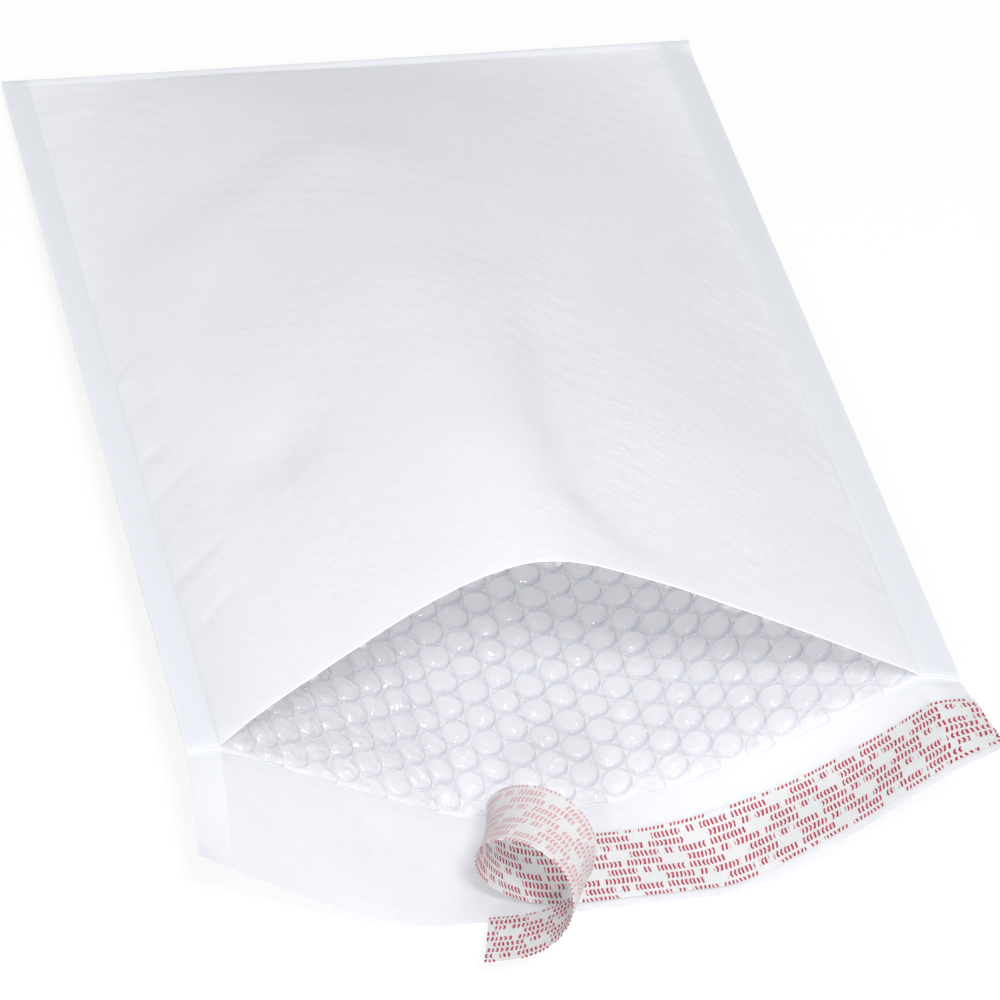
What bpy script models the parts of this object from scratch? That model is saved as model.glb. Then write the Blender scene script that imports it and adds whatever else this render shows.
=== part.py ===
"""Padded mailing envelope, open at the mouth, with its release strip half peeled and curled.

Metres, +Z up. The bottom fold is at +Y and the mouth and its gummed lip are at -Y. The envelope
lies on its back panel, and the origin is under the middle of the whole outline, on the surface
that it lies on.

Four pieces are built: the folded outer paper, the bubble film pouch bonded inside it, the
adhesive band on the lip, and the release strip over that band.

Places on the folded sheet are given by two flat lengths: "across", from the left side edge, and
"along", from the bottom fold towards the mouth and on over the lip.
"""
import math
from functools import lru_cache

import bmesh
import bpy
import numpy as np
from mathutils import Vector
from mathutils.geometry import delaunay_2d_cdt

# Driving sizes of the flat envelope
envelope_width = 0.267
pocket_length = 0.385
lip_length = 0.040
left_seam_width = 0.0095
right_seam_width = 0.0125
fold_band = 0.0045
paper_thickness = 0.0003
clearance = 0.0003

# How the pocket stands open, from the bottom fold to the mouth
fold_height = 0.0035
bottom_run = 0.022
mouth_width = 0.2315
mouth_edge_height = 0.041
arch_height = 0.060
arch_crest_x = -0.016
arch_roundness = (0.30, 0.20)
opening_growth = 0.75

# The trough of the back panel: where its flat floor ends left and right, at three places
trough_at_fold = (-0.060, 0.050)
trough_at_mouth = (-0.028, 0.002)
trough_at_lip_edge = (-0.045, 0.035)
trough_roundness_inside = (0.10, 0.40)
trough_roundness_lip = (0.40, 0.28)

# The lip flares and lifts past the mouth
lip_flare = (0.002, -0.0025)
lip_lift = (0.001, 0.013)

# Bubble film
seam_film_thickness = 0.0003
film_thickness = 0.0008
bubble_pitch = 0.011
bubble_height = 0.0042
bubble_crown_share = 0.62
bubble_shoulder_height_share = 0.78
bubble_rows_back = 10
bubble_rows_front = 6
deep_pad_thickness = 0.0030
mouth_film_edge = 0.0010
leaf_room_share = 0.82

# Adhesive band and release strip
adhesive_width = 0.021
adhesive_thickness = 0.0002
strip_width = 0.0254
strip_thickness = 0.0002
strip_edge_margin = 0.0025
peel_line_across = 0.1312
peeled_length = 0.129

# The curl of the peeled strip: bending and twisting per metre at even steps from the peel line
curl_bending = (11.0, 42.0, 52.0, 50.0, 68.0, 50.0, 6.0)
curl_twisting = (0.0, -5.0, -31.0, -15.0, -21.0, -9.0, 3.0)

# Mesh fineness
pocket_row_shares = (0.0, 0.02, 0.05, 0.10, 0.17, 0.26, 0.36, 0.47, 0.58, 0.70, 0.80, 0.90, 1.0)
section_samples = 97
fold_arc_steps = 4
curl_steps = 36
frame_steps_per_curl_step = 6

# Sizes that follow from those above
panel_spacing = paper_thickness + 2 * clearance + seam_film_thickness
fold_radius = panel_spacing / 2
film_offset = paper_thickness / 2 + clearance
adhesive_offset = film_offset + adhesive_thickness / 2
strip_offset = adhesive_offset + adhesive_thickness / 2 + clearance + strip_thickness / 2
column_spacing = bubble_pitch * math.sin(math.radians(60))


def mix(start, end, share):
    return start + (end - start) * share


def rounded_slope(share, roundness):
    """Rise from 0 to 1 as share goes from 0 to 1: a round start that runs into a straight slope."""
    whole = np.hypot(roundness, 1) - roundness
    return (np.hypot(roundness, share) - roundness) / whole


def edge_place(along, end):
    """X and height of the left (end 0) or right (end 1) side edge of the sheet."""
    opening = min(max(along / pocket_length, 0.0), 1.0)
    over_lip = max(along - pocket_length, 0.0) / lip_length
    half_width = mix(envelope_width, mouth_width, opening) / 2 + lip_flare[end] * over_lip
    height = mix(fold_height, mouth_edge_height, opening) + lip_lift[end] * over_lip
    return (half_width if end else -half_width), height


def share_of_run(x, start, end):
    return np.clip((x - start) / (end - start), 0.0, 1.0)


def open_share(along):
    """How far the pocket stands open at a place along it: 0 in the bottom band, 1 at the mouth."""
    share = (along - fold_band) / (pocket_length - fold_band)
    return min(max(share, 0.0), 1.0)


def back_height(x, along):
    """Height of the back sheet's middle surface: a flat floor with a slope up to each side.

    Next to the bottom fold the floor comes down from the fold to the surface that it lies on.
    """
    opening = open_share(along)
    over_lip = max(along - pocket_length, 0.0) / lip_length
    down = math.sin(math.pi / 2 * min(max((along - fold_band) / bottom_run, 0.0), 1.0))
    total = np.full_like(x, paper_thickness / 2)
    for end, seam in ((0, left_seam_width), (1, right_seam_width)):
        edge_x, edge_height = edge_place(along, end)
        floor_end = mix(trough_at_fold[end], trough_at_mouth[end], opening)
        floor_end = mix(floor_end, trough_at_lip_edge[end], over_lip)
        roundness = mix(trough_roundness_inside[end], trough_roundness_lip[end], over_lip)
        seam_x = edge_x + (-seam if end else seam)
        to_seam = rounded_slope(share_of_run(x, floor_end, seam_x), roundness)
        to_edge = rounded_slope(share_of_run(x, floor_end, edge_x), roundness)
        own_half = np.where(x < 0, 1 - end, end)
        slope = mix(own_half, mix(to_seam, to_edge, over_lip), down)
        total = total + edge_height * slope
    return total


def front_height(x, along):
    """Height of the front sheet's middle surface: an arch between the two side seams."""
    rise = arch_height * open_share(along) ** opening_growth
    left_x, edge_height = edge_place(along, 0)
    right_x, _ = edge_place(along, 1)
    left_foot = left_x + left_seam_width
    right_foot = right_x - right_seam_width
    on_left = x < arch_crest_x
    share = np.where(on_left,
                     share_of_run(x, arch_crest_x, left_foot),
                     share_of_run(x, arch_crest_x, right_foot))
    roundness = np.where(on_left, *arch_roundness)
    base = paper_thickness / 2 + panel_spacing + edge_height
    return base + rise * (1 - rounded_slope(share, roundness))


height_of = {"back": back_height, "front": front_height}


@lru_cache(maxsize=None)
def section(side, along):
    """Cross section of one sheet: flat length across, x and z of points from edge to edge."""
    left_x, _ = edge_place(along, 0)
    right_x, _ = edge_place(along, 1)
    body = np.linspace(left_x + left_seam_width, right_x - right_seam_width, section_samples)
    xs = np.concatenate(([left_x], body, [right_x]))
    zs = height_of[side](xs, along)
    steps = np.hypot(np.diff(xs), np.diff(zs))
    body_length = steps[1:-1].sum()
    flat_body = envelope_width - left_seam_width - right_seam_width
    flat = np.concatenate(([0.0, left_seam_width],
                           left_seam_width + np.cumsum(steps[1:-1]) * flat_body / body_length,
                           [envelope_width]))
    return flat, xs, zs


@lru_cache(maxsize=None)
def sheet_point(side, across, along):
    flat, xs, zs = section(side, along)
    x = float(np.interp(across, flat, xs))
    z = float(np.interp(across, flat, zs))
    return Vector((x, pocket_length / 2 - fold_radius - along, z))


@lru_cache(maxsize=None)
def inward_normal(side, across, along):
    """Unit normal of a sheet towards the inside of the pocket, which is up for the back sheet."""
    step = 0.0015
    left = max(across - step, 0.0)
    right = min(across + step, envelope_width)
    near = min(along + step, pocket_length + (lip_length if side == "back" else 0.0))
    far = max(along - step, 0.0)
    across_way = sheet_point(side, right, along) - sheet_point(side, left, along)
    along_way = sheet_point(side, across, near) - sheet_point(side, across, far)
    normal = along_way.cross(across_way).normalized()
    return normal if side == "back" else -normal


def offset_point(side, across, along, height):
    """Point at a height above a sheet's middle surface, towards the inside of the pocket."""
    return sheet_point(side, across, along) + inward_normal(side, across, along) * height


def evenly(start, end, spacing):
    """Even places from start to end, about a spacing apart, without the last one."""
    count = max(1, round((end - start) / spacing))
    return [mix(start, end, i / count) for i in range(count)]


def body_columns():
    """Flat places across the sheet of its mesh columns, from seam to seam by the peel line."""
    last = envelope_width - right_seam_width
    return [*evenly(left_seam_width, peel_line_across, column_spacing),
            *evenly(peel_line_across, last, column_spacing), last]


def pocket_rows():
    """Flat places along the pocket of its mesh rows, closer together beside the bottom band."""
    return [mix(fold_band, pocket_length, share) for share in pocket_row_shares]


def strip_rows():
    """Flat places along the lip of the strip's two edges, the adhesive's and the middle line."""
    middle = pocket_length + lip_length - strip_edge_margin - strip_width / 2
    halves = (-strip_width / 2, -adhesive_width / 2, 0.0, adhesive_width / 2, strip_width / 2)
    return [middle + half for half in halves]


def lip_rows():
    """Flat places along the lip of its mesh rows, from next to the mouth to the lip's edge."""
    return [mix(pocket_length, strip_rows()[0], 0.5), *strip_rows(), pocket_length + lip_length]


def new_object(name, mesh, colour, roughness):
    material = bpy.data.materials.new(name)
    material.use_nodes = True
    shader = material.node_tree.nodes["Principled BSDF"]
    shader.inputs["Base Color"].default_value = (*colour, 1.0)
    shader.inputs["Roughness"].default_value = roughness
    shader.inputs["Metallic"].default_value = 0.0
    mesh.materials.append(material)
    mesh.shade_smooth()
    mesh.set_sharp_from_angle(angle=math.radians(40))
    result = bpy.data.objects.new(name, mesh)
    bpy.context.scene.collection.objects.link(result)
    return result


def fill_grid(bm, rows):
    """Triangles over rows of vertices, with every square cut along the same diagonal."""
    for lower, upper in zip(rows, rows[1:]):
        for i in range(len(lower) - 1):
            bm.faces.new((lower[i], lower[i + 1], upper[i + 1]))
            bm.faces.new((lower[i], upper[i + 1], upper[i]))


def grid_mesh(name, rows):
    """Mesh over rows of points that all have the same length."""
    bm = bmesh.new()
    fill_grid(bm, [[bm.verts.new(point) for point in row] for row in rows])
    mesh = bpy.data.meshes.new(name)
    bm.to_mesh(mesh)
    bm.free()
    return mesh


def thicken(sheet, thickness):
    """Give a sheet its thickness, half to each side of its middle surface."""
    solidify = sheet.modifiers.new("thickness", "SOLIDIFY")
    solidify.thickness = thickness
    solidify.offset = 0.0
    solidify.use_even_offset = True
    solidify.use_rim = True


def build_paper():
    """One sheet: lip and back panel, round the bottom fold, then the front panel to the mouth."""
    columns = [0.0, *body_columns(), envelope_width]
    inside = [0.0, *pocket_rows()]
    rows = [[sheet_point("back", across, along) for across in columns]
            for along in reversed([*inside, *lip_rows()])]
    for step in range(1, fold_arc_steps):
        angle = math.pi * step / fold_arc_steps
        out = Vector((0.0, fold_radius * math.sin(angle), fold_radius * (1 - math.cos(angle))))
        rows.append([sheet_point("back", across, 0.0) + out for across in columns])
    for along in inside:
        rows.append([sheet_point("front", across, along) for across in columns])
    mesh = grid_mesh("outer_paper", rows)
    thicken(new_object("outer_paper", mesh, (0.84, 0.85, 0.87), 0.62), paper_thickness)


def half_gap(side, across, along):
    """Half of the room between the film's two outer faces, straight up and down at one place."""
    x = np.array([offset_point(side, across, along, film_offset).x])
    room = front_height(x, along) - back_height(x, along) - 2 * film_offset
    return max(float(room[0]) / 2, 0.0)


def hexagon(centre, radius):
    """Corners of a hexagon in the flat sheet, with two of them pointing across it."""
    angles = [math.radians(60 * i) for i in range(6)]
    return [(centre[0] + radius * math.cos(a), centre[1] + radius * math.sin(a)) for a in angles]


def bubble_centres(rows):
    """Close-packed bubble places beside the mouth, in columns that run along the pocket."""
    tile_radius = bubble_pitch / math.sqrt(3)
    first = left_seam_width + tile_radius
    last = envelope_width - right_seam_width - tile_radius
    count = int((last - first) / column_spacing) + 1
    start = (first + last - (count - 1) * column_spacing) / 2
    centres = []
    for column in range(count):
        stagger = bubble_pitch / 2 if column % 2 else 0.0
        for row in range(rows):
            along = pocket_length - mouth_film_edge - bubble_pitch * (row + 0.5) - stagger
            centres.append((start + column * column_spacing, along))
    return centres


def leaf_layout(bubble_rows):
    """Flat points, heights and edges of one leaf's inner face: bubbles, then a plain deep pad."""
    points = []
    heights = []
    edges = []
    index_of = {}

    def place(across, along, height):
        key = (round(across, 6), round(along, 6))
        if key not in index_of:
            index_of[key] = len(points)
            points.append((across, along))
            heights.append(height)
        return index_of[key]

    tile_radius = bubble_pitch / math.sqrt(3)
    crown_height = film_thickness + bubble_height
    shoulder_height = film_thickness + bubble_height * bubble_shoulder_height_share
    for centre in bubble_centres(bubble_rows):
        tile = [place(*corner, film_thickness) for corner in hexagon(centre, tile_radius)]
        crown_radius = tile_radius * bubble_crown_share
        crown = [place(*corner, shoulder_height) for corner in hexagon(centre, crown_radius)]
        top = place(*centre, crown_height)
        for i in range(6):
            edges.append((tile[i], tile[(i + 1) % 6]))
            edges.append((crown[i], crown[(i + 1) % 6]))
            edges.append((tile[i], crown[i]))
            edges.append((crown[i], top))

    bubbles_end = pocket_length - mouth_film_edge - bubble_pitch * (bubble_rows + 1)
    for along in pocket_rows()[2:]:
        for across in body_columns()[1:-1]:
            if along < bubbles_end:
                place(across, along, deep_pad_thickness)
    corner_inset = column_spacing / 4
    for across in (body_columns()[0] + corner_inset, body_columns()[-1] - corner_inset):
        place(across, pocket_rows()[1] + corner_inset, deep_pad_thickness)
    return points, heights, edges


def add_leaf(bm, side, bubble_rows, shared):
    """Inner face of one leaf of the pouch. Its side and bottom borders are the shared points."""
    points, heights, edges = leaf_layout(bubble_rows)
    rims = [(across, pocket_length) for across in body_columns()[1:-1]]
    border = list(shared)
    all_points = points + rims + border
    result = delaunay_2d_cdt([Vector(p) for p in all_points], edges, [], 0, 1e-7)
    triangles, sources = result[2], result[3]
    verts = {}
    for i, (across, along) in enumerate(all_points):
        if i >= len(points) + len(rims):
            verts[i] = shared[(across, along)]
            continue
        height = heights[i] if i < len(points) else film_thickness
        room = leaf_room_share * half_gap(side, across, along)
        verts[i] = bm.verts.new(offset_point(side, across, along, film_offset + min(height, room)))
    for triangle in triangles:
        corners = [verts[sources[corner][0]] for corner in triangle]
        bm.faces.new(corners)
    return [verts[len(points) + i] for i in range(len(rims))]


def build_lining():
    """Bubble film pouch: outer faces beside the paper, pressed flat in the seams, open mouth."""
    columns = [0.0, *body_columns(), envelope_width]
    rows = [0.0, *pocket_rows()]
    bm = bmesh.new()
    outer = {}
    for side in ("back", "front"):
        outer[side] = [[bm.verts.new(offset_point(side, across, along, film_offset))
                        for across in columns] for along in rows]
    back, front = outer["back"], outer["front"]
    fill_grid(bm, back[::-1])
    fill_grid(bm, front)
    for i in range(len(columns) - 1):
        bm.faces.new((back[0][i], back[0][i + 1], front[0][i + 1], front[0][i]))
    for lower, upper in zip(range(len(rows) - 1), range(1, len(rows))):
        for end in (0, -1):
            bm.faces.new((back[lower][end], back[upper][end], front[upper][end], front[lower][end]))

    shared = {}
    first, last = columns[1], columns[-2]
    for along in rows[2:]:
        for across in (first, last):
            shared[(across, along)] = None
    for across in columns[2:-2]:
        shared[(across, rows[2])] = None
    for across, along in shared:
        below = offset_point("back", across, along, film_offset)
        above = offset_point("front", across, along, film_offset)
        shared[(across, along)] = bm.verts.new((below + above) / 2)

    for side, bubble_rows in (("back", bubble_rows_back), ("front", bubble_rows_front)):
        inner = add_leaf(bm, side, bubble_rows, shared)
        inner = [shared[(first, pocket_length)], *inner, shared[(last, pocket_length)]]
        rim = outer[side][-1][1:-1]
        for i in range(len(rim) - 1):
            bm.faces.new((rim[i], rim[i + 1], inner[i + 1], inner[i]))
    for seam, corner in (((0, 1), (first, pocket_length)), ((-1, -2), (last, pocket_length))):
        edge, foot = seam
        bm.faces.new((back[-1][edge], back[-1][foot], front[-1][foot], front[-1][edge]))
        bm.faces.new((back[-1][foot], shared[corner], front[-1][foot]))

    bmesh.ops.triangulate(bm, faces=bm.faces[:])
    bmesh.ops.recalc_face_normals(bm, faces=bm.faces[:])
    mesh = bpy.data.meshes.new("bubble_lining")
    bm.to_mesh(mesh)
    bm.free()
    new_object("bubble_lining", mesh, (0.78, 0.79, 0.84), 0.22)


def build_adhesive():
    """Thin band of adhesive on the lip, under the stuck part of the strip and bare beyond it."""
    rows = [[offset_point("back", across, along, adhesive_offset) for across in body_columns()]
            for along in reversed(strip_rows()[1:-1])]
    mesh = grid_mesh("flap_adhesive", rows)
    thicken(new_object("flap_adhesive", mesh, (0.80, 0.81, 0.82), 0.30), adhesive_thickness)


def curl_frames():
    """Middle line and crosswise direction of the peeled strip, bent and twisted step by step."""
    middle = strip_rows()[2]
    place = offset_point("back", peel_line_across, middle, strip_offset)
    out = inward_normal("back", peel_line_across, middle)
    crosswise = Vector((0.0, 1.0, 0.0))
    ahead = out.cross(crosswise).normalized()
    steps = curl_steps * frame_steps_per_curl_step
    length = peeled_length / steps
    stations = np.linspace(0.0, 1.0, len(curl_bending))
    frames = [(place.copy(), crosswise.copy())]
    for step in range(steps):
        share = (step + 0.5) / steps
        bending = float(np.interp(share, stations, curl_bending))
        twisting = float(np.interp(share, stations, curl_twisting))
        ahead = (ahead + out * bending * length).normalized()
        crosswise = crosswise - out * twisting * length
        crosswise = (crosswise - ahead * ahead.dot(crosswise)).normalized()
        out = crosswise.cross(ahead).normalized()
        place = place + ahead * length
        if (step + 1) % frame_steps_per_curl_step == 0:
            frames.append((place.copy(), crosswise.copy()))
    return frames


def build_strip():
    """Release strip: stuck to the lip from its right end to the peel line, then curled free."""
    alongs = strip_rows()[::-1]
    middle = strip_rows()[2]
    stuck = [across for across in [*body_columns(), envelope_width] if across > peel_line_across]
    columns = []
    for place, crosswise in reversed(curl_frames()):
        columns.append([place + crosswise * (middle - along) for along in alongs])
    for across in stuck:
        columns.append([offset_point("back", across, along, strip_offset) for along in alongs])
    mesh = grid_mesh("release_strip", list(zip(*columns)))
    thicken(new_object("release_strip", mesh, (0.86, 0.80, 0.81), 0.45), strip_thickness)


def centre_on_origin():
    """Move every piece so that the origin is under the middle of the whole outline."""
    points = [vertex.co for mesh in bpy.data.meshes for vertex in mesh.vertices]
    lowest = min(point.y for point in points)
    highest = max(point.y for point in points)
    shift = Vector((0.0, -(lowest + highest) / 2, 0.0))
    for mesh in bpy.data.meshes:
        for vertex in mesh.vertices:
            vertex.co += shift


def main():
    for existing in list(bpy.data.objects):
        bpy.data.objects.remove(existing, do_unlink=True)
    for mesh in list(bpy.data.meshes):
        bpy.data.meshes.remove(mesh)
    build_paper()
    build_lining()
    build_adhesive()
    build_strip()
    centre_on_origin()


main()
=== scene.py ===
"""Looks of a padded mailing envelope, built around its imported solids.

Metres, +Z up, in the frame of the solids. Places on the folded sheet are given by two flat
lengths, as in the part's source: "across", from the left side edge, and "along", from the bottom
fold towards the mouth and on over the lip.
"""
import math

import bpy
import numpy as np
from mathutils import Matrix, Vector


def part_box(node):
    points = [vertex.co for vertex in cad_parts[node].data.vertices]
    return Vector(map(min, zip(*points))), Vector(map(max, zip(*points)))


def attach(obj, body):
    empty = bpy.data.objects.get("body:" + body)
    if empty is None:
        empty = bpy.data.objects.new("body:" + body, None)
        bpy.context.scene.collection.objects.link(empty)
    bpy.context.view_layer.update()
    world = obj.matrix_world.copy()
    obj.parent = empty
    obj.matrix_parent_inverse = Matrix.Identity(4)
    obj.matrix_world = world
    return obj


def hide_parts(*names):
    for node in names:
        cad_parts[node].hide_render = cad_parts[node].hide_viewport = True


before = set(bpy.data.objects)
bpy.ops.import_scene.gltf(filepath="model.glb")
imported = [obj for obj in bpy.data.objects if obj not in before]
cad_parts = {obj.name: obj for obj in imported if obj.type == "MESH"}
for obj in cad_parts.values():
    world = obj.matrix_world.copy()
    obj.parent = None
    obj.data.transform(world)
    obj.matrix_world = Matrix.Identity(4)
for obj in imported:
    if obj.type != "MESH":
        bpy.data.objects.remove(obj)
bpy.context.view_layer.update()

# Sizes of the folded sheet, the same as in the part's source
envelope_width = 0.267
pocket_length = 0.385
lip_length = 0.040
left_seam_width = 0.0095
right_seam_width = 0.0125
fold_band = 0.0045
paper_thickness = 0.0003
clearance = 0.0003
fold_height = 0.0035
bottom_run = 0.022
mouth_width = 0.2315
mouth_edge_height = 0.041
arch_height = 0.060
arch_crest_x = -0.016
arch_roundness = (0.30, 0.20)
opening_growth = 0.75
trough_at_fold = (-0.060, 0.050)
trough_at_mouth = (-0.028, 0.002)
trough_at_lip_edge = (-0.045, 0.035)
trough_roundness_inside = (0.10, 0.40)
trough_roundness_lip = (0.40, 0.28)
lip_flare = (0.002, -0.0025)
lip_lift = (0.001, 0.013)
seam_film_thickness = 0.0003
bubble_pitch = 0.011
bubble_height = 0.0042
mouth_film_edge = 0.0010
adhesive_width = 0.021
adhesive_thickness = 0.0002
strip_width = 0.0254
strip_thickness = 0.0002
strip_edge_margin = 0.0025
peel_line_across = 0.1312
peeled_length = 0.129
curl_bending = (11.0, 42.0, 52.0, 50.0, 68.0, 50.0, 6.0)
curl_twisting = (0.0, -5.0, -31.0, -15.0, -21.0, -9.0, 3.0)
panel_spacing = paper_thickness + 2 * clearance + seam_film_thickness
fold_radius = panel_spacing / 2
film_offset = paper_thickness / 2 + clearance
adhesive_offset = film_offset + adhesive_thickness / 2
strip_offset = adhesive_offset + adhesive_thickness / 2 + clearance + strip_thickness / 2
column_spacing = bubble_pitch * math.sin(math.radians(60))
sheet_length = {"back": pocket_length + lip_length, "front": pocket_length}

# The solids are centred on their outline, which shifts every place along Y
paper_low, paper_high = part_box("outer_paper")
y_shift = paper_high.y - (pocket_length + paper_thickness) / 2


def mix(start, end, share):
    return start + (end - start) * share


def smooth(value, low, high):
    """0 below low, 1 above high, and a soft run between them."""
    share = np.clip((value - low) / (high - low), 0.0, 1.0)
    return share * share * (3 - 2 * share)


def bump(value, centre, width):
    """A soft hump of height 1 at a centre."""
    return np.exp(-(((value - centre) / width) ** 2))


def soft_noise(u, v, cell, seed):
    """Smooth noise from -1 to 1 over two lengths, with one swing in about two cells."""
    table = np.random.default_rng(seed).uniform(-1, 1, (97, 97))
    u, v = np.asarray(u) / cell, np.asarray(v) / cell
    iu, iv = np.floor(u).astype(int), np.floor(v).astype(int)
    fu, fv = u - iu, v - iv
    fu, fv = fu * fu * (3 - 2 * fu), fv * fv * (3 - 2 * fv)
    low = mix(table[iu % 97, iv % 97], table[(iu + 1) % 97, iv % 97], fu)
    high = mix(table[iu % 97, (iv + 1) % 97], table[(iu + 1) % 97, (iv + 1) % 97], fu)
    return mix(low, high, fv)


# The folded sheet's own shape

def rounded_slope(share, roundness):
    whole = np.hypot(roundness, 1) - roundness
    return (np.hypot(roundness, share) - roundness) / whole


def edge_place(along, end):
    opening = min(max(along / pocket_length, 0.0), 1.0)
    over_lip = max(along - pocket_length, 0.0) / lip_length
    half_width = mix(envelope_width, mouth_width, opening) / 2 + lip_flare[end] * over_lip
    height = mix(fold_height, mouth_edge_height, opening) + lip_lift[end] * over_lip
    return (half_width if end else -half_width), height


def share_of_run(x, start, end):
    return np.clip((x - start) / (end - start), 0.0, 1.0)


def open_share(along):
    share = (along - fold_band) / (pocket_length - fold_band)
    return min(max(share, 0.0), 1.0)


def back_height(x, along):
    opening = open_share(along)
    over_lip = max(along - pocket_length, 0.0) / lip_length
    down = math.sin(math.pi / 2 * min(max((along - fold_band) / bottom_run, 0.0), 1.0))
    total = np.full_like(x, paper_thickness / 2)
    for end, seam in ((0, left_seam_width), (1, right_seam_width)):
        edge_x, edge_height = edge_place(along, end)
        floor_end = mix(trough_at_fold[end], trough_at_mouth[end], opening)
        floor_end = mix(floor_end, trough_at_lip_edge[end], over_lip)
        roundness = mix(trough_roundness_inside[end], trough_roundness_lip[end], over_lip)
        seam_x = edge_x + (-seam if end else seam)
        to_seam = rounded_slope(share_of_run(x, floor_end, seam_x), roundness)
        to_edge = rounded_slope(share_of_run(x, floor_end, edge_x), roundness)
        own_half = np.where(x < 0, 1 - end, end)
        slope = mix(own_half, mix(to_seam, to_edge, over_lip), down)
        total = total + edge_height * slope
    return total


def front_height(x, along):
    rise = arch_height * open_share(along) ** opening_growth
    left_x, edge_height = edge_place(along, 0)
    right_x, _ = edge_place(along, 1)
    on_left = x < arch_crest_x
    share = np.where(on_left,
                     share_of_run(x, arch_crest_x, left_x + left_seam_width),
                     share_of_run(x, arch_crest_x, right_x - right_seam_width))
    roundness = np.where(on_left, *arch_roundness)
    base = paper_thickness / 2 + panel_spacing + edge_height
    return base + rise * (1 - rounded_slope(share, roundness))


height_of = {"back": back_height, "front": front_height}


def section(side, along, samples=401):
    """Cross section of one sheet: flat length across, x and z of points from edge to edge."""
    left_x, _ = edge_place(along, 0)
    right_x, _ = edge_place(along, 1)
    body = np.linspace(left_x + left_seam_width, right_x - right_seam_width, samples)
    xs = np.concatenate(([left_x], body, [right_x]))
    zs = height_of[side](xs, along)
    steps = np.hypot(np.diff(xs), np.diff(zs))
    flat_body = envelope_width - left_seam_width - right_seam_width
    flat = np.concatenate(([0.0, left_seam_width],
                           left_seam_width + np.cumsum(steps[1:-1]) * flat_body
                           / steps[1:-1].sum(), [envelope_width]))
    return flat, xs, zs


def add_folds(total, across, along, folds):
    """Add short soft folds: place, direction in degrees, length, width and depth of each."""
    for start_across, start_along, degrees, length, width, depth in folds:
        way = (math.cos(math.radians(degrees)), math.sin(math.radians(degrees)))
        du, dv = across - start_across, along - start_along
        run = (du * way[0] + dv * way[1]) / length
        away = (du * -way[1] + dv * way[0]) / width
        total += depth * np.exp(-away ** 2) * smooth(run, -0.1, 0.15) * (1 - smooth(run, 0.3, 1.0))
    return total


def seam_folds(seed, count, near_left):
    """Small puckers that run inwards from a side seam, slanting towards the bottom fold."""
    rng = np.random.default_rng(seed)
    folds = []
    for i in range(count):
        along = mix(0.012, pocket_length - 0.02, (i + rng.uniform(0.1, 0.9)) / count)
        slant = rng.uniform(10, 50)
        width = rng.uniform(0.0012, 0.0030)
        length = rng.uniform(0.010, 0.034)
        depth = rng.uniform(0.0002, 0.0006) * rng.choice((-1, 1))
        if near_left:
            folds.append((left_seam_width, along, -slant, length, width, depth))
        else:
            folds.append((envelope_width - right_seam_width, along, 180 + slant, length * 0.7,
                          width, depth * 0.7))
    return folds


puckers = seam_folds(11, 22, True) + seam_folds(12, 18, False)

# Soft swells of the whole sheet: height, length of a swell, and seed
swells = ((0.0008, 0.070, 1), (0.00028, 0.026, 2), (0.00006, 0.0065, 3))
right_flange_drop = 0.0030
stamped_height = 0.00007
groove_width = 0.0006
groove_depth = 0.00016

# Forms of the front panel. Each dent has its place across and along, its two widths and its depth
panel_dents = ((0.056, 0.277, 0.015, 0.018, 0.0024), (0.158, 0.362, 0.008, 0.008, 0.0006))
shoulder_across = (0.020, 0.068, 0.108)
shoulder_along = (0.157, 0.130, 0.096)
shoulder_height = 0.0018
ridge_along = (0.160, 0.294, 0.338, 0.372)
ridge_across = (0.150, 0.128, 0.128, 0.138)
valley_past_ridge = 0.018
valley_near_width = 0.011
valley_far_width = 0.026
valley_depth = 0.0030
fold_crease_place = 0.0040
fold_crease_depth = 0.0003

# Forms of the lip
lip_sag_across = 0.208
lip_sag_width = 0.036
lip_sag_depth = 0.0052
lip_crease_depth = 0.0005
lip_swell = 0.0005


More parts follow.
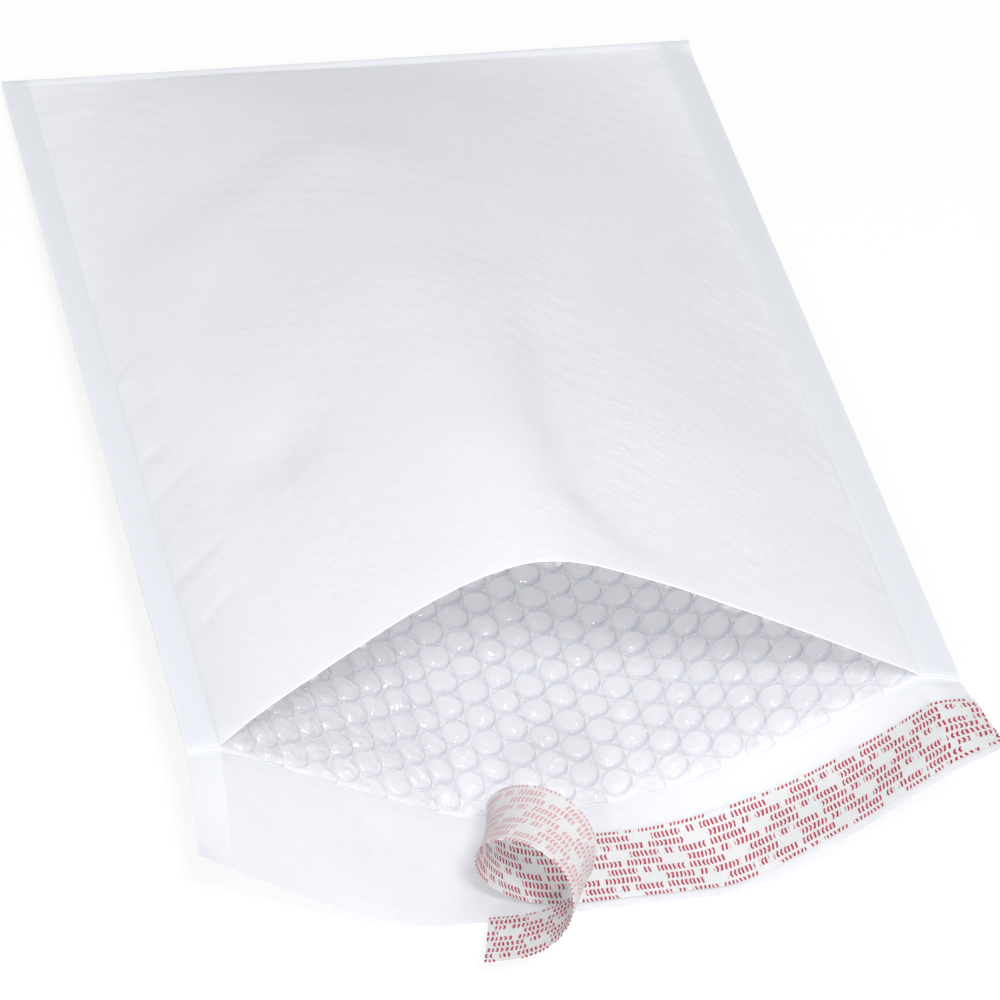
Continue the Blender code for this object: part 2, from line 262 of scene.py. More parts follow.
def relief(side, across, along):
    """Height of the real sheet's small forms over its plain shape, upwards."""
    inner = smooth(across, 0.0, 0.030) * smooth(envelope_width - across, 0.0, 0.030)
    last = envelope_width - right_seam_width
    total = np.zeros_like(across)
    for height, cell, seed in swells:
        total += height * soft_noise(across, along, cell, seed) * inner
    total -= right_flange_drop * smooth(across, last, envelope_width + 0.004)
    columns = np.cos(math.pi * across / column_spacing)
    stamped = columns * np.cos(2 * math.pi * along / bubble_pitch)
    stamped_here = smooth(soft_noise(across, along, 0.04, 4), -0.5, 0.7)
    total += stamped_height * stamped * stamped_here * inner
    wobble = 0.00015 * soft_noise(along, along * 0, 0.012, 5)
    groove = bump(across, left_seam_width + wobble, groove_width)
    groove += bump(across, last + 2 * wobble, groove_width)
    total -= groove_depth * groove * (along <= pocket_length)
    if side == "front":
        add_folds(total, across, along, puckers)
        for dent_across, dent_along, width, length, depth in panel_dents:
            total -= depth * bump(across, dent_across, width) * bump(along, dent_along, length)
        shoulder = along - np.interp(across, shoulder_across, shoulder_along)
        beside_ridge = 1 - smooth(across, 0.10, 0.15)
        total += shoulder_height * smooth(shoulder, -0.034, 0.004) * beside_ridge * inner
        past = across - np.interp(along, ridge_along, ridge_across)
        valley = np.where(past < valley_past_ridge,
                          bump(past, valley_past_ridge, valley_near_width),
                          bump(past, valley_past_ridge, valley_far_width))
        before_mouth = 1 - smooth(along, 0.335, pocket_length)
        total -= valley_depth * valley * smooth(along, 0.15, 0.27) * before_mouth
        total -= fold_crease_depth * bump(along, fold_crease_place, 0.0008)
    else:
        over = np.clip((along - pocket_length) / lip_length, 0.0, 1.0)
        sag = np.sin(math.pi * over ** 0.75) * bump(across, lip_sag_across, lip_sag_width)
        total -= lip_sag_depth * sag
        total -= lip_crease_depth * bump(along, pocket_length + 0.0010, 0.0012)
        total += lip_swell * soft_noise(across, along, 0.022, 6) * smooth(over, 0.0, 0.3)
    return total * smooth(along, 0.0, 0.008)


class Sheet:
    """One side of the folded sheet as a fine table of points and upward normals."""

    def __init__(self, side):
        self.side = side
        self.along = np.arange(0.0, sheet_length[side] + 0.0005, 0.001)
        self.across = np.linspace(0.0, envelope_width, 535)
        rows = []
        for along in self.along:
            flat, xs, zs = section(side, along)
            rows.append(np.stack([np.interp(self.across, flat, xs),
                                  np.full_like(self.across, y_of(along)),
                                  np.interp(self.across, flat, zs)], axis=-1))
        points = np.array(rows)
        grid_across, grid_along = np.meshgrid(self.across, self.along)
        lift = relief(side, grid_across, grid_along)
        points = points + self.normals(points) * lift[..., None]
        points[..., 2] = np.maximum(points[..., 2], paper_thickness / 2)
        self.points = points
        self.up = self.normals(points)

    @staticmethod
    def normals(points):
        across_way = np.gradient(points, axis=1)
        along_way = np.gradient(points, axis=0)
        up = np.cross(along_way, across_way)
        return up / np.linalg.norm(up, axis=-1, keepdims=True)

    def read(self, table, across, along):
        """Read the table between its rows and columns."""
        u = np.clip(np.asarray(across) / self.across[1], 0, len(self.across) - 1.000001)
        v = np.clip(np.asarray(along) / self.along[1], 0, len(self.along) - 1.000001)
        iu, iv = u.astype(int), v.astype(int)
        fu, fv = (u - iu)[..., None], (v - iv)[..., None]
        low = mix(table[iv, iu], table[iv, iu + 1], fu)
        high = mix(table[iv + 1, iu], table[iv + 1, iu + 1], fu)
        return mix(low, high, fv)

    def at(self, across, along, height=0.0):
        """Points at a height above the middle surface, towards the inside of the pocket."""
        across, along = np.broadcast_arrays(np.asarray(across, float), np.asarray(along, float))
        inward = 1 if self.side == "back" else -1
        up = self.read(self.up, across, along)
        points = self.read(self.points, across, along)
        return points + up * inward * np.asarray(height)[..., None]


def y_of(along):
    return pocket_length / 2 - fold_radius - along + y_shift


sheets = {"back": Sheet("back"), "front": Sheet("front")}


# Meshes and materials

def mesh_object(name, verts, faces, materials):
    mesh = bpy.data.meshes.new(name)
    mesh.from_pydata([tuple(v) for v in verts], [], [tuple(f) for f in faces])
    mesh.validate()
    for material in materials:
        mesh.materials.append(material)
    mesh.shade_smooth()
    mesh.update()
    result = bpy.data.objects.new(name, mesh)
    bpy.context.scene.collection.objects.link(result)
    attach(result, "root")
    return result


def grid_faces(rows, columns, offset=0):
    index = np.arange(rows * columns).reshape(rows, columns) + offset
    quads = np.stack([index[:-1, :-1], index[:-1, 1:], index[1:, 1:], index[1:, :-1]], axis=-1)
    return quads.reshape(-1, 4)


def thicken(piece, thickness, back_slot=0):
    """Give a sheet its thickness. The mesh is left as it ends up, with its cut edges sharp."""
    solidify = piece.modifiers.new("thickness", "SOLIDIFY")
    solidify.thickness = thickness
    solidify.offset = 0.0
    solidify.use_rim = True
    solidify.material_offset = back_slot
    evaluated = piece.evaluated_get(bpy.context.evaluated_depsgraph_get())
    mesh = bpy.data.meshes.new_from_object(evaluated)
    piece.modifiers.clear()
    piece.data = mesh
    mesh.set_sharp_from_angle(angle=math.radians(50))


class Nodes:
    """Short way to write the node tree of a material or of the world."""

    def __init__(self, owner):
        owner.use_nodes = True
        self.owner = owner
        self.tree = owner.node_tree
        self.shader = self.tree.nodes.get("Principled BSDF")

    def add(self, kind, **settings):
        node = self.tree.nodes.new(kind)
        for key, value in settings.items():
            setattr(node, key, value)
        return node

    def feed(self, socket, value):
        if isinstance(value, bpy.types.NodeSocket):
            self.tree.links.new(value, socket)
        else:
            socket.default_value = value

    def math(self, operation, *values):
        node = self.add("ShaderNodeMath", operation=operation)
        for socket, value in zip(node.inputs, values):
            self.feed(socket, value)
        return node.outputs[0]

    def noise(self, place, scale, detail=2.0, roughness=0.5):
        node = self.add("ShaderNodeTexNoise")
        self.feed(node.inputs["Vector"], place)
        node.inputs["Scale"].default_value = scale
        node.inputs["Detail"].default_value = detail
        node.inputs["Roughness"].default_value = roughness
        return node.outputs["Fac"]

    def ramp(self, value, stops, interpolation="LINEAR"):
        node = self.add("ShaderNodeValToRGB")
        node.color_ramp.interpolation = interpolation
        elements = node.color_ramp.elements
        while len(elements) < len(stops):
            elements.new(0.5)
        for element, (place, colour) in zip(elements, stops):
            element.position = place
            element.color = (*colour, 1.0)
        self.feed(node.inputs["Fac"], value)
        return node.outputs["Color"]

    def blend(self, share, low, high):
        node = self.add("ShaderNodeMix", data_type="RGBA")
        self.feed(node.inputs[0], share)
        for socket, value in ((node.inputs[6], low), (node.inputs[7], high)):
            self.feed(socket, value if isinstance(value, bpy.types.NodeSocket) else (*value, 1.0))
        return node.outputs[2]

    def bump(self, height, distance, strength=1.0):
        node = self.add("ShaderNodeBump")
        node.inputs["Distance"].default_value = distance
        node.inputs["Strength"].default_value = strength
        self.feed(node.inputs["Height"], height)
        self.feed(self.shader.inputs["Normal"], node.outputs[0])

    def let_light_through(self, colour, share):
        """Let a share of the light go on through the surface, softly spread."""
        through = self.add("ShaderNodeBsdfTranslucent")
        self.feed(through.inputs["Color"], colour)
        sheet = self.add("ShaderNodeMixShader")
        sheet.inputs[0].default_value = share
        self.feed(sheet.inputs[1], self.shader.outputs[0])
        self.feed(sheet.inputs[2], through.outputs[0])
        self.feed(self.tree.nodes["Material Output"].inputs["Surface"], sheet.outputs[0])

    def place(self):
        return self.add("ShaderNodeTexCoord").outputs["Object"]

    def attribute(self, name, output="Fac"):
        return self.add("ShaderNodeAttribute", attribute_name=name).outputs[output]


# Share of the light that goes on through each face of the thin white paper and of the liner
paper_see_through = 0.55
liner_see_through = 0.40
pressed_paper = (0.83, 0.845, 0.87)
fibre_paper = (0.84, 0.85, 0.87)
fibre_share = 0.05
fibre_swing = 0.07


def paper_material(name, low, high):
    """White paper with soft clouds and fine fibres. It is greyer where a seam is pressed flat."""
    nodes = Nodes(bpy.data.materials.new(name))
    place = nodes.place()
    clouds = nodes.noise(place, 16.0, 0.0)
    fibres = nodes.noise(place, 1100.0, 0.0)
    crinkle = nodes.noise(place, 380.0, 0.0)
    tone = nodes.ramp(clouds, ((0.3, low), (0.7, high)))
    fleck = nodes.math("MULTIPLY", nodes.math("SUBTRACT", fibres, 0.5), fibre_swing)
    colour = nodes.blend(nodes.math("ADD", fleck, fibre_share), tone, fibre_paper)
    colour = nodes.blend(nodes.attribute("seam"), colour, pressed_paper)
    nodes.feed(nodes.shader.inputs["Base Color"], colour)
    nodes.shader.inputs["Roughness"].default_value = 0.58
    nodes.bump(crinkle, 0.00017)
    nodes.let_light_through((0.96, 0.965, 0.98, 1.0), paper_see_through)
    return nodes.owner


# How milky the clear film gets where it stands steep to the eye. Along each bubble's rim the film
# is painted with shade: a darker tone, made more opaque there
steep_milkiness = 0.20
rim_painted_shade_opacity = 0.34
film_tone = (0.975, 0.975, 1.0)
rim_painted_shade_tone = (0.62, 0.61, 0.75)


def film_material(name, clear, wrinkled):
    """Clear glossy film: milky where it stands steep to the eye, with painted shade along each
    bubble's rim.
    """
    nodes = Nodes(bpy.data.materials.new(name))
    shader = nodes.shader
    # The rim attribute carries painted shade: the film turns a darker tone and more opaque along
    # each bubble's rim
    rim = nodes.attribute("rim")
    nodes.feed(shader.inputs["Base Color"], nodes.blend(rim, film_tone, rim_painted_shade_tone))
    steep = nodes.add("ShaderNodeLayerWeight").outputs["Facing"]
    steep = nodes.math("MULTIPLY", nodes.math("POWER", steep, 3.0), steep_milkiness)
    rim = nodes.math("MULTIPLY", rim, rim_painted_shade_opacity)
    opacity = nodes.math("ADD", nodes.math("ADD", clear, steep), rim)
    nodes.feed(shader.inputs["Alpha"], opacity)
    shader.inputs["Roughness"].default_value = 0.07
    shader.inputs["IOR"].default_value = 1.9
    shader.inputs["Specular IOR Level"].default_value = 1.0
    if wrinkled:
        nodes.bump(nodes.noise(nodes.place(), 560.0, 0.0), 0.0006)
    return nodes.owner


def adhesive_material():
    nodes = Nodes(bpy.data.materials.new("clear_adhesive"))
    shader = nodes.shader
    streaks = nodes.noise(nodes.place(), 140.0, 2.0, 0.6)
    tone = nodes.ramp(streaks, ((0.35, (0.84, 0.85, 0.89)), (0.65, (0.90, 0.905, 0.93))))
    nodes.feed(shader.inputs["Base Color"], tone)
    shader.inputs["Alpha"].default_value = 0.02
    shader.inputs["Roughness"].default_value = 0.40
    nodes.bump(streaks, 0.00025, 0.5)
    return nodes.owner


white = (1.0, 1.0, 1.0)
black = (0.0, 0.0, 0.0)
crimson = (0.50, 0.018, 0.058)

# The strip's marks: rows of plain ticks and chevrons in groups, with a gap in each repeat. Each row
# starts further along than the one before it, and each second row further still
row_pitch = 0.003175
row_start = -0.0016
row_shift = 0.0043
odd_row_shift = 0.0215
repeat_length = 0.045
group_ends = (0.20, 0.235, 0.31, 0.345, 0.54, 0.575, 0.83)

# Marks: their pitch along a row, half their height as a share of the row, how often their kind
# changes, and the slant and stroke as shares of the pitch
mark_pitch = 0.00132
mark_half_height = 0.345
kind_changes_per_mark = 0.3334
tick_slant = 0.10
chevron_slant = 0.30
stroke_width = 0.47
haze_tone = 0.965


def strip_material(name, ink, ground, strength):
    nodes = Nodes(bpy.data.materials.new(name))
    shader = nodes.shader
    split = nodes.add("ShaderNodeSeparateXYZ")
    nodes.feed(split.inputs[0], nodes.attribute("print_place", "Vector"))
    run, across = split.outputs[0], split.outputs[1]
    rows = nodes.math("DIVIDE", nodes.math("SUBTRACT", across, row_start), row_pitch)
    row = nodes.math("FLOOR", rows)
    from_middle = nodes.math("SUBTRACT", nodes.math("FRACT", rows), 0.5)
    tall = nodes.math("DIVIDE", from_middle, mark_half_height)
    odd = nodes.math("MODULO", row, 2.0)
    way = nodes.math("SUBTRACT", nodes.math("MULTIPLY", odd, 2.0), 1.0)
    moved = nodes.math("ADD", run, nodes.math("MULTIPLY", row, row_shift))
    moved = nodes.math("ADD", moved, nodes.math("MULTIPLY", odd, odd_row_shift))
    repeat = nodes.math("FRACT", nodes.math("DIVIDE", moved, repeat_length))
    stops = [(0.0, white)] + [(end, white if i % 2 else black)
                              for i, end in enumerate(group_ends)]
    in_group = nodes.ramp(repeat, stops, "CONSTANT")
    height = nodes.math("ABSOLUTE", tall)
    in_row = nodes.math("LESS_THAN", height, 1.0)
    step = nodes.math("DIVIDE", moved, mark_pitch)
    kind = nodes.math("FLOOR", nodes.math("MULTIPLY", step, kind_changes_per_mark))
    kind = nodes.math("MODULO", kind, 2.0)
    tick = nodes.math("MULTIPLY", tall, tick_slant)
    chevron = nodes.math("MULTIPLY", height, chevron_slant)
    bent = nodes.math("ADD", nodes.math("MULTIPLY", chevron, kind),
                      nodes.math("MULTIPLY", tick, nodes.math("SUBTRACT", 1.0, kind)))
    slanted = nodes.math("SUBTRACT", step, nodes.math("MULTIPLY", bent, way))
    stroke = nodes.math("LESS_THAN", nodes.math("FRACT", slanted), stroke_width)
    ink_here = nodes.math("MULTIPLY", nodes.math("MULTIPLY", in_group, in_row), stroke)
    share = nodes.math("MULTIPLY", ink_here, strength)
    haze = nodes.noise(nodes.place(), 260.0, 2.0)
    paper = nodes.blend(haze, ground, tuple(part * haze_tone for part in ground))
    colour = nodes.blend(share, paper, ink)
    nodes.feed(shader.inputs["Base Color"], colour)
    shader.inputs["Roughness"].default_value = 0.38
    nodes.bump(haze, 0.00012, 0.5)
    nodes.let_light_through(colour, liner_see_through)
    return nodes.owner


paper_outside = paper_material("paper_outside", (0.915, 0.93, 0.958), (0.94, 0.952, 0.975))
paper_inside = paper_material("paper_inside", (0.93, 0.935, 0.965), (0.95, 0.955, 0.98))
# The lip is the same inner face of the paper as the inside, given a much darker copy of its colour:
# painted shade that holds the lip down where the lamps light it more
lip_paper_painted_shade = paper_material("lip_paper_painted_shade", (0.70, 0.71, 0.74), (0.725, 0.735, 0.765))
film_sheet_material = film_material("film_sheet", 0.12, False)
film_dome_material = film_material("film_bubble", 0.18, True)
clear_adhesive = adhesive_material()
strip_front = strip_material("liner_printed", crimson, (0.88, 0.89, 0.895), 0.97)
strip_back = strip_material("liner_back", (0.80, 0.36, 0.42), (0.88, 0.88, 0.88), 0.72)


# Outer paper

def paper_columns():
    """Flat places across the sheet, closer together beside the two seam lines."""
    last = envelope_width - right_seam_width
    near = np.array([-0.0022, -0.0012, -0.0005, 0.0, 0.0005, 0.0012, 0.0022])
    body = np.linspace(left_seam_width + 0.0042, last - 0.0042, 116)
    return np.concatenate((np.linspace(0, left_seam_width - 0.0042, 4), left_seam_width + near,
                           body, last + near, np.linspace(last + 0.0042, envelope_width, 5)))


def build_paper():
    columns = paper_columns()
    lip = pocket_length + lip_length * np.linspace(1, 0, 30)
    back = pocket_length * np.linspace(1, 0, 66)[1:]
    front = np.concatenate(([0, 0.0015, 0.0028, 0.0036, 0.0044, 0.0056],
                            np.linspace(0.0075, pocket_length, 196)))
    rows = [sheets["back"].at(columns, along) for along in (*lip, *back)]
    lowest = rows[-1]
    for step in range(1, 4):
        angle = math.pi * step / 4
        rows.append(lowest + np.array([0.0, fold_radius * math.sin(angle),
                                       fold_radius * (1 - math.cos(angle))]))
    rows += [sheets["front"].at(columns, along) for along in front]
    verts = np.array(rows)
    faces = grid_faces(len(rows), len(columns))
    paper = mesh_object("paper_shell", verts.reshape(-1, 3), faces,
                        [paper_inside, lip_paper_painted_shade, paper_outside, paper_outside])
    # The lip's faces take the darker copy of the paper, which is painted shade
    lip_faces = (len(lip) - 1) * (len(columns) - 1)
    on_lip = (np.arange(len(faces)) < lip_faces).astype(np.int32)
    paper.data.polygons.foreach_set("material_index", on_lip)
    last = envelope_width - right_seam_width
    pressed = (1 - smooth(columns, left_seam_width - 0.0006, left_seam_width + 0.0006)
               + smooth(columns, last - 0.0006, last + 0.0006))
    pressed = np.where(np.arange(len(rows))[:, None] < len(lip), 0.0, pressed[None, :])
    attribute = paper.data.attributes.new("seam", "FLOAT", "POINT")
    attribute.data.foreach_set("value", pressed.astype(np.float32).ravel())
    thicken(paper, paper_thickness, back_slot=2)
    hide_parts("outer_paper")


# Bubble film. On the front leaf it is cut a little short of the mouth

film_setback = {"back": 0.0, "front": 0.0022}


def film_edge(side, across):
    """How far the film's cut edge stands past the mouth line, and how high its edge curls."""
    seed = 21 if side == "back" else 22
    ragged = 0.0005 * soft_noise(across, across * 0, 0.0035, seed)
    ragged = ragged + 0.0007 * soft_noise(across, across * 0, 0.014, seed + 2)
    curl = 0.0009 * smooth(soft_noise(across, across * 0, 0.009, seed + 4), -0.2, 0.9)
    return ragged, curl


def build_film_sheet():
    """The flat film behind the bubbles: two leaves, each a thin closed sheet."""
    verts, faces = [], []
    inset = 0.0006
    columns = np.linspace(left_seam_width + inset, envelope_width - right_seam_width - inset, 150)
    for side in ("back", "front"):
        ragged, curl = film_edge(side, columns)
        shares = np.concatenate((np.linspace(0, 0.9, 60), np.linspace(0.9, 0.985, 14)[1:],
                                 np.linspace(0.985, 1.0, 8)[1:]))
        end = pocket_length - film_setback[side] + ragged
        rows = []
        for share in shares:
            along = mix(0.010, end, share)
            lift = film_offset + 0.00012 + curl * smooth(share, 0.990, 1.0)
            rows.append(sheets[side].at(columns, along, lift))
        rows = np.array(rows)
        block = grid_faces(len(shares), len(columns), len(verts))
        faces.extend(block[:, ::-1] if side == "back" else block)
        verts.extend(rows.reshape(-1, 3))
    film = mesh_object("film_backing", verts, faces, [film_sheet_material])
    thicken(film, 0.00010)
    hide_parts("bubble_lining")


def leaf_gap(across, along):
    """Straight distance between the two sheets over a place on the back one."""
    x = sheets["back"].at(across, along)[..., 0]
    result = []
    for place, length in zip(x, along):
        one = np.array([place])
        result.append(float(front_height(one, length)[0] - back_height(one, length)[0]))
    return np.array(result)


def bubble_places():
    tile_radius = bubble_pitch / math.sqrt(3)
    first = left_seam_width + tile_radius
    last = envelope_width - right_seam_width - tile_radius
    count = int((last - first) / column_spacing) + 1
    start = (first + last - (count - 1) * column_spacing) / 2
    places = []
    for column in range(count):
        stagger = bubble_pitch / 2 if column % 2 else 0.0
        row = -1 if column % 2 else 0
        while True:
            along = pocket_length - mouth_film_edge - bubble_pitch * (row + 0.5) - stagger
            if along < 0.020:
                break
            places.append((start + column * column_spacing, along))
            row += 1
    return np.array(places)


# Rings of a bubble's mesh, as shares of its radius, and the side of its rim where the painted shade
# is darkest
fine_rings = np.array([0.18, 0.36, 0.52, 0.66, 0.77, 0.86, 0.93, 0.975, 1.0])
plain_rings = np.array([0.45, 0.80, 1.0])
painted_shade_direction = math.radians(25)


def build_bubbles(side, fine_depth):
    """Blown bubbles of one leaf: fine ones as far in as the eye reaches, plainer ones beyond."""
    places = bubble_places()
    rng = np.random.default_rng(31 if side == "back" else 32)
    gap = leaf_gap(places[:, 0], places[:, 1])
    places, gap = places[gap > 0.005], gap[gap > 0.005]
    depth = pocket_length - places[:, 1]
    verts, faces, painted_rim_shade = [], [], []
    for (across, along), room, deep in zip(places, gap, depth):
        fine = deep < fine_depth
        rings = fine_rings if fine else plain_rings
        corners = 20 if fine else 8
        radius = 0.00535 * rng.uniform(0.96, 1.03)
        crushed = soft_noise(np.array([across]), np.array([along]), 0.021, 40)[0]
        near_left = 1 - smooth(across, 0.060, 0.125)
        near_mouth = 1 - smooth(deep, 0.0, 0.012)
        bias = 0.95 * near_left + 0.25 * near_mouth
        crushed = float(np.clip(0.55 * (crushed + 0.1) + 0.75 * bias - 0.05, 0.12, 0.85))
        if deep < bubble_pitch * (0.5 if side == "back" else 1.2):
            crushed = 1.0
        height = bubble_height * rng.uniform(0.90, 1.04) * (1 - 0.62 * crushed)
        height = min(height, max(room * 0.40 - 0.0006, 0.0006))
        angles = np.linspace(0, 2 * math.pi, corners, endpoint=False) + rng.uniform(0, 6.28)
        ripple = (1 + 0.025 * np.sin(2 * angles + rng.uniform(0, 6.28))
                  + 0.018 * np.sin(3 * angles + rng.uniform(0, 6.28)))
        r = rings[:, None] * ripple[None, :] * radius
        u = across + r * np.cos(angles)
        v = np.minimum(along + r * np.sin(angles), pocket_length - film_setback[side])
        lift = height * np.sqrt(np.maximum(1 - rings ** 3.0, 0.0))[:, None] * np.ones_like(u)
        dents = soft_noise(u + across, v + along, 0.0018, rng.integers(1, 900))
        folds = np.abs(soft_noise(u, v, 0.0030, rng.integers(1, 900)))
        inner = smooth(1 - rings, 0.0, 0.30)[:, None]
        lift = lift + inner * (0.00048 + 0.0012 * crushed) * (dents - 0.6 * folds)
        lift = np.maximum(lift, 0.00002)
        tip = height * (1 - 0.10 * rng.uniform()) - 0.0008 * crushed
        base = film_offset + 0.00018
        u_all = np.concatenate(([across], u.ravel()))
        v_all = np.concatenate(([along], v.ravel()))
        lift_all = np.concatenate(([max(tip, 0.0002)], lift.ravel())) + base
        start = len(verts)
        verts.extend(sheets[side].at(u_all, v_all, lift_all))
        # Painted shade along the rim, heavier on one side of each bubble
        shadow_side = 0.55 + 0.45 * np.cos(angles - painted_shade_direction)
        painted_rim_shade.append(0.0)
        painted_rim_shade.extend((smooth(rings, 0.84, 1.0)[:, None] * shadow_side[None, :]).ravel())
        ring = start + 1 + np.arange(len(rings) * corners).reshape(len(rings), corners)
        turned = np.roll(ring, -1, axis=1)
        flip = side == "back"
        for i in range(corners):
            cap = (start, ring[0, i], turned[0, i])
            faces.append(cap[::-1] if flip else cap)
        for j in range(len(rings) - 1):
            for i in range(corners):
                quad = (ring[j, i], ring[j + 1, i], turned[j + 1, i], turned[j, i])
                faces.append(quad[::-1] if flip else quad)
    bubbles = mesh_object(f"film_bubbles_{side}", verts, faces, [film_dome_material])
    # The rim attribute holds the painted shade of each bubble's rim
    attribute = bubbles.data.attributes.new("rim", "FLOAT", "POINT")
    attribute.data.foreach_set("value", np.array(painted_rim_shade, dtype=np.float32))
    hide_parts("bubble_lining")


# Lip: adhesive band and release strip

def strip_rows(width, count):
    middle = pocket_length + lip_length - strip_edge_margin - strip_width / 2
    return middle + np.linspace(-width / 2, width / 2, count)


def build_adhesive():
    rows = strip_rows(adhesive_width, 9)[::-1]
    columns = np.linspace(left_seam_width, envelope_width - right_seam_width, 140)
    ragged = 0.00025 * soft_noise(columns, columns * 0, 0.006, 51)
    points = []
    for i, along in enumerate(rows):
        on_edge = i in (0, len(rows) - 1)
        points.append(sheets["back"].at(columns, along + ragged * on_edge, adhesive_offset))
    band = mesh_object("adhesive_band", np.array(points).reshape(-1, 3),
                       grid_faces(len(rows), len(columns)), [clear_adhesive])
    thicken(band, adhesive_thickness)
    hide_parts("flap_adhesive")


def curl_frames():
    """Middle line and crosswise direction of the peeled strip, bent and twisted step by step."""
    steps, keep = 720, 6
    middle = strip_rows(strip_width, 3)[1]
    back = sheets["back"]
    place = Vector(back.at(np.array([peel_line_across]), middle, np.array([strip_offset]))[0])
    out = Vector(back.read(back.up, np.array([peel_line_across]), np.array([middle]))[0])
    out = out.normalized()
    crosswise = Vector((0.0, 1.0, 0.0))
    crosswise = (crosswise - out * out.dot(crosswise)).normalized()
    ahead = out.cross(crosswise).normalized()
    length = peeled_length / steps
    stations = np.linspace(0.0, 1.0, len(curl_bending))
    frames = [(place.copy(), crosswise.copy())]
    for step in range(steps):
        share = (step + 0.5) / steps
        bending = float(np.interp(share, stations, curl_bending))
        twisting = float(np.interp(share, stations, curl_twisting))
        ahead = (ahead + out * bending * length).normalized()
        crosswise = crosswise - out * twisting * length
        crosswise = (crosswise - ahead * ahead.dot(crosswise)).normalized()
        out = crosswise.cross(ahead).normalized()
        place = place + ahead * length
        if (step + 1) % keep == 0:
            frames.append((place.copy(), crosswise.copy()))
    return frames


def build_strip():
    count = 17
    alongs = strip_rows(strip_width, count)[::-1]
    middle = strip_rows(strip_width, 3)[1]
    stuck = np.linspace(peel_line_across, envelope_width, 110)
    columns, runs = [], []
    frames = curl_frames()
    for i, (place, crosswise) in enumerate(reversed(frames)):
        columns.append([place + crosswise * (middle - along) for along in alongs])
        runs.append(peeled_length * i / (len(frames) - 1))
    for across in stuck[1:]:
        columns.append(sheets["back"].at(np.full(count, across), alongs, strip_offset))
        runs.append(peeled_length + across - peel_line_across)
    grid = np.array(columns, dtype=float).transpose(1, 0, 2)
    strip = mesh_object("peel_strip", grid.reshape(-1, 3), grid_faces(count, len(columns)),
                        [strip_front, strip_back])
    print_place = np.zeros((count, len(columns), 3), dtype=np.float32)
    print_place[..., 0] = np.array(runs)[None, :]
    print_place[..., 1] = (alongs - alongs.min())[:, None]
    attribute = strip.data.attributes.new("print_place", "FLOAT_VECTOR", "POINT")
    attribute.data.foreach_set("vector", print_place.ravel())
    thicken(strip, strip_thickness, back_slot=1)
    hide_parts("release_strip")


build_paper()
build_film_sheet()
build_bubbles("back", 0.175)
build_bubbles("front", 0.060)
build_adhesive()
build_strip()


# Floor, light and camera

def build_floor():
    size = 8.0
    mesh = bpy.data.meshes.new("studio_floor")
    mesh.from_pydata([(-size, -size, 0), (size, -size, 0), (size, size, 0), (-size, size, 0)], [],
                     [(0, 1, 2, 3)])
    floor = bpy.data.objects.new("studio_floor", mesh)
    bpy.context.scene.collection.objects.link(floor)
    floor.location.z = -0.0002
    nodes = Nodes(bpy.data.materials.new("studio_floor"))
    nodes.shader.inputs["Base Color"].default_value = (0.92, 0.92, 0.92, 1.0)
    nodes.shader.inputs["Roughness"].default_value = 0.9
    seen = seen_directly(nodes)
    glow = nodes.add("ShaderNodeEmission")
    blend = nodes.add("ShaderNodeMixShader")
    nodes.feed(blend.inputs[0], nodes.math("MULTIPLY", seen, 0.80))
    nodes.feed(blend.inputs[1], nodes.shader.outputs[0])
    nodes.feed(blend.inputs[2], glow.outputs[0])
    nodes.feed(nodes.tree.nodes["Material Output"].inputs["Surface"], blend.outputs[0])
    mesh.materials.append(nodes.owner)


def seen_directly(nodes):
    """1 for what the camera sees, also in a mirror or through glass."""
    path = nodes.add("ShaderNodeLightPath")
    total = nodes.math("MAXIMUM", path.outputs["Is Camera Ray"], path.outputs["Is Glossy Ray"])
    return nodes.math("MAXIMUM", total, path.outputs["Is Transmission Ray"])


def build_world():
    world = bpy.data.worlds.new("studio")
    bpy.context.scene.world = world
    nodes = Nodes(world)
    background = nodes.tree.nodes["Background"]
    background.inputs["Color"].default_value = (1.0, 1.0, 1.0, 1.0)
    strength = nodes.math("ADD", 0.46, nodes.math("MULTIPLY", seen_directly(nodes), 0.54))
    nodes.feed(background.inputs["Strength"], strength)


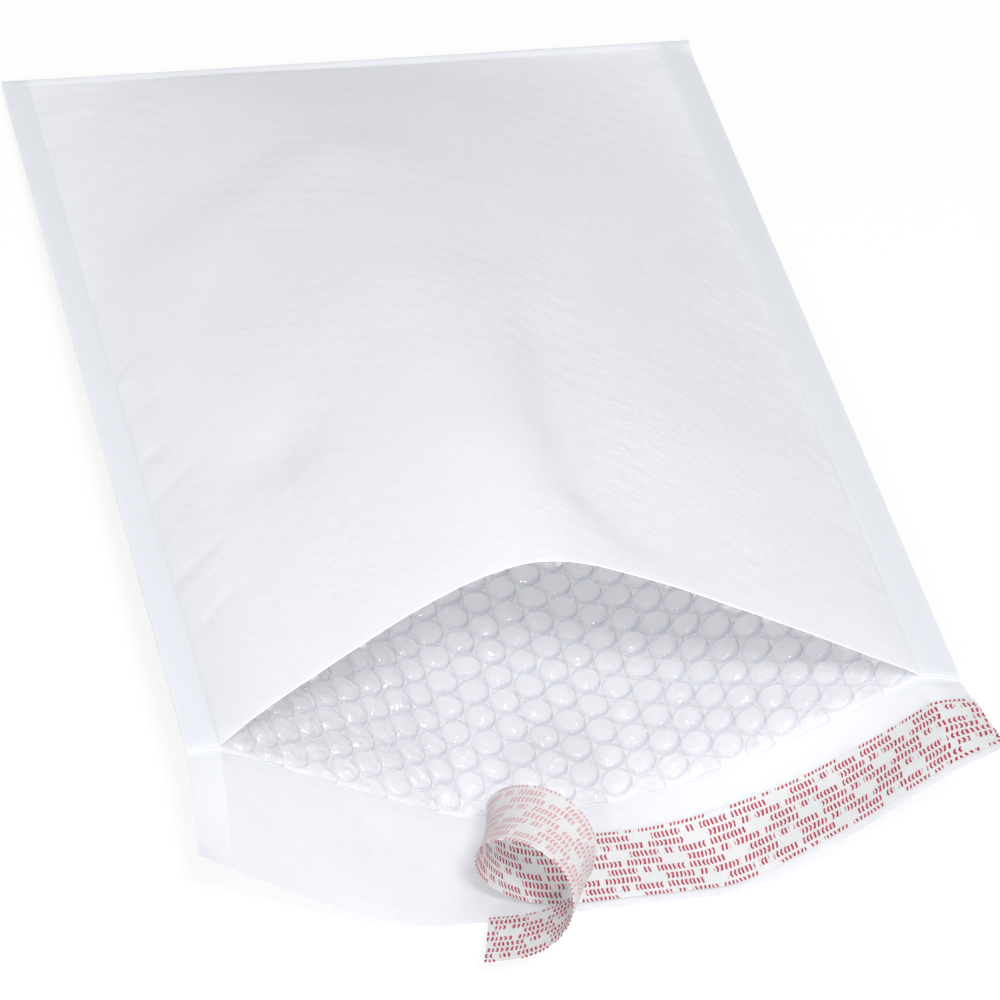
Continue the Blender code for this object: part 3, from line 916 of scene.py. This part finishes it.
def softbox(name, azimuth, elevation, distance, size, watts):
    """A square lamp that faces the envelope. Azimuth 0 is in front of the mouth, minus is left."""
    azimuth, elevation = math.radians(azimuth), math.radians(elevation)
    way = Vector((math.sin(azimuth) * math.cos(elevation),
                  -math.cos(azimuth) * math.cos(elevation), math.sin(elevation)))
    data = bpy.data.lights.new(name, "AREA")
    data.size = size
    data.energy = watts
    lamp = bpy.data.objects.new(name, data)
    bpy.context.scene.collection.objects.link(lamp)
    lamp.location = way * distance
    lamp.rotation_mode = "QUATERNION"
    lamp.rotation_quaternion = (-way).to_track_quat("-Z", "Y")


def build_camera():
    azimuth, elevation, roll = math.radians(-15.326), math.radians(42.0), math.radians(5.346)
    target = Vector((0.0067728, -0.0556715 + y_shift, 0.0))
    distance = 1.07285
    back = Vector((math.sin(azimuth) * math.cos(elevation),
                   -math.cos(azimuth) * math.cos(elevation), math.sin(elevation)))
    level = (-back).cross(Vector((0, 0, 1))).normalized()
    upright = level.cross(-back)
    right = math.cos(roll) * level + math.sin(roll) * upright
    up = -math.sin(roll) * level + math.cos(roll) * upright
    data = bpy.data.cameras.new("photo_camera")
    data.sensor_width = 36.0
    data.lens = 36.0 * 3.25085
    camera = bpy.data.objects.new("photo_camera", data)
    bpy.context.scene.collection.objects.link(camera)
    turn = Matrix((right, up, back)).transposed().to_4x4()
    camera.matrix_world = Matrix.Translation(target + back * distance) @ turn
    bpy.context.scene.camera = camera


build_floor()
build_world()
# Azimuth and elevation of each lamp as seen from the envelope, its distance, size and power
softbox("front", -4, 52, 2.00, 0.28, 19.0)
softbox("high", 20, 78, 2.00, 0.60, 7.5)
softbox("low", -18, 29, 2.00, 0.26, 11.0)
build_camera()
bpy.context.scene.view_settings.view_transform = "Standard"

# Enough light bounces for the clear film's layers and the paper behind them
bpy.context.scene.cycles.transparent_max_bounces = 16
bpy.context.scene.cycles.max_bounces = 8
bpy.context.scene.cycles.diffuse_bounces = 3
bpy.context.scene.cycles.transmission_bounces = 6
bpy.context.scene.cycles.glossy_bounces = 2
